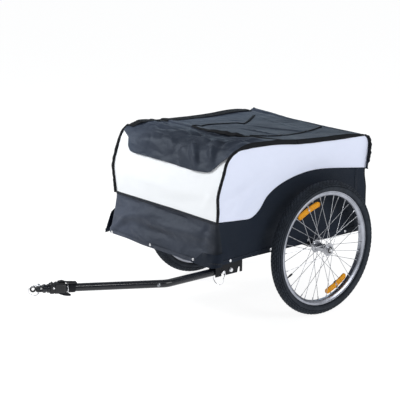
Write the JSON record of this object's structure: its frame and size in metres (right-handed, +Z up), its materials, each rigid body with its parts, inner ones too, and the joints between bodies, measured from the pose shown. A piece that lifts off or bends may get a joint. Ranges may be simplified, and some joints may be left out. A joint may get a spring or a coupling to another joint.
{
  "type": "bike_cargo_trailer",
  "caption": "Two-wheeled bicycle cargo trailer with a white and black cloth tub, a fold-back black cover, spoked wheels and a bent side tow arm with a hitch pin",
  "frame": {"origin": "On the ground, under the middle of the overall length and width. The middle of the axle is at (0, 0.4178, 0.248).", "axes": "+Z up, -Y forwards along the tow arm, +X to the trailer's left, the side that carries the tow arm."},
  "size_m": [0.7838, 1.4032, 0.6574],
  "materials": {
    "rubber": "matte",
    "alloy": "satin",
    "zinc_steel": "satin",
    "black_steel": "satin",
    "amber": "gloss",
    "black_plastic": "matte",
    "white_cloth": "matte",
    "black_cloth": "matte",
    "webbing": "matte"
  },
  "bodies": {
    "frame": {"side_rail_left": "black_steel", "side_rail_right": "black_steel", "front_rail": "black_steel", "rear_rail": "black_steel", "axle_cross_tube": "black_steel", "side_hoop_left": "black_steel", "side_hoop_right": "black_steel", "front_top_bar": "black_steel", "rear_top_bar": "black_steel", "floor_panel": "black_cloth", "front_lower_panel": "black_cloth", "left_lower_panel": "black_cloth", "right_lower_panel": "black_cloth", "rear_lower_panel": "black_cloth", "front_upper_panel": "white_cloth", "left_upper_panel": "white_cloth", "right_upper_panel": "white_cloth", "rear_upper_panel": "white_cloth", "cover_rear": "black_cloth", "cover_rear_drop": "black_cloth", "tow_bracket": "black_steel", "pivot_bolt": "zinc_steel", "pivot_nut": "zinc_steel", "stub_axle_left": "zinc_steel", "stub_axle_right": "zinc_steel"},
    "left_wheel": {"tyre_left": "rubber", "inner_tube_left": "rubber", "rim_left": "alloy", "spoked_hub_left": "zinc_steel", "outer_bearing_left": "zinc_steel", "inner_bearing_left": "zinc_steel", "upper_reflector_left": "amber", "lower_reflector_left": "amber", "valve_left": "black_plastic"},
    "right_wheel": {"tyre_right": "rubber", "inner_tube_right": "rubber", "rim_right": "alloy", "spoked_hub_right": "zinc_steel", "outer_bearing_right": "zinc_steel", "inner_bearing_right": "zinc_steel", "upper_reflector_right": "amber", "lower_reflector_right": "amber", "valve_right": "black_plastic"},
    "left_button": {"release_button_left": "zinc_steel"},
    "right_button": {"release_button_right": "zinc_steel"},
    "front_cover": {"cover_front": "black_cloth"},
    "front_cover_drop": {"cover_front_drop": "black_cloth"},
    "arm": {"tow_arm": "black_steel", "arm_bolt": "zinc_steel", "lock_pin": "zinc_steel", "coupler_body": "black_plastic", "safety_strap": "webbing", "strap_ring": "zinc_steel"},
    "lock_bail": {"lock_pin_bail": "zinc_steel"},
    "swivel": {"swivel_fork": "black_steel"},
    "eye": {"eye_plate": "black_steel", "hitch_pin": "zinc_steel"},
    "hitch_bail": {"hitch_pin_bail": "zinc_steel"}
  },
  "joints": [
    {"name": "left_wheel_spin", "type": "hinge", "parent": "frame", "child": "left_wheel", "pos_m": [0.346, 0.4178, 0.248], "axis": [1, 0, 0], "continuous": true},
    {"name": "right_wheel_spin", "type": "hinge", "parent": "frame", "child": "right_wheel", "pos_m": [-0.346, 0.4178, 0.248], "axis": [1, 0, 0], "continuous": true},
    {"name": "left_button_press", "type": "slide", "parent": "frame", "child": "left_button", "axis": [-1, 0, 0], "range_m": [0, 0.003], "stiffness_N_per_m": 400},
    {"name": "right_button_press", "type": "slide", "parent": "frame", "child": "right_button", "axis": [1, 0, 0], "range_m": [0, 0.003], "stiffness_N_per_m": 400},
    {"name": "front_cover_fold", "type": "hinge", "parent": "frame", "child": "front_cover", "pos_m": [0, 0.3178, 0.64649], "axis": [-1, 0, 0], "range_deg": [0, 170]},
    {"name": "cover_drop_fold", "type": "hinge", "parent": "front_cover", "child": "front_cover_drop", "pos_m": [0, 0.02874, 0.64387], "axis": [-1, 0, 0], "range_deg": [0, 85]},
    {"name": "arm_fold", "type": "hinge", "parent": "frame", "child": "arm", "pos_m": [0.268, 0.0278, 0.2265], "axis": [1, 0, 0], "range_deg": [0, 180]},
    {"name": "lock_bail_swing", "type": "hinge", "parent": "arm", "child": "lock_bail", "pos_m": [0.2911, -0.0112, 0.2265], "axis": [0, -1, 0], "range_deg": [0, 180]},
    {"name": "coupler_swivel", "type": "hinge", "parent": "arm", "child": "swivel", "pos_m": [0.1, -0.6797, 0.253], "axis": [0.3615, 0.9306, -0.057], "range_deg": [-60, 60]},
    {"name": "eye_turn", "type": "hinge", "parent": "swivel", "child": "eye", "pos_m": [0.10651, -0.66295, 0.25197], "axis": [0.0206, 0.0531, 0.9984], "range_deg": [-60, 60]},
    {"name": "hitch_bail_swing", "type": "hinge", "parent": "eye", "child": "hitch_bail", "pos_m": [0.10678, -0.66224, 0.26525], "axis": [-0.9321, 0.3621, 0], "range_deg": [0, 150]}
  ],
  "couplings": [
    {"joint": "lock_bail_swing", "follows": "arm_fold", "ratio": 1}
  ]
}
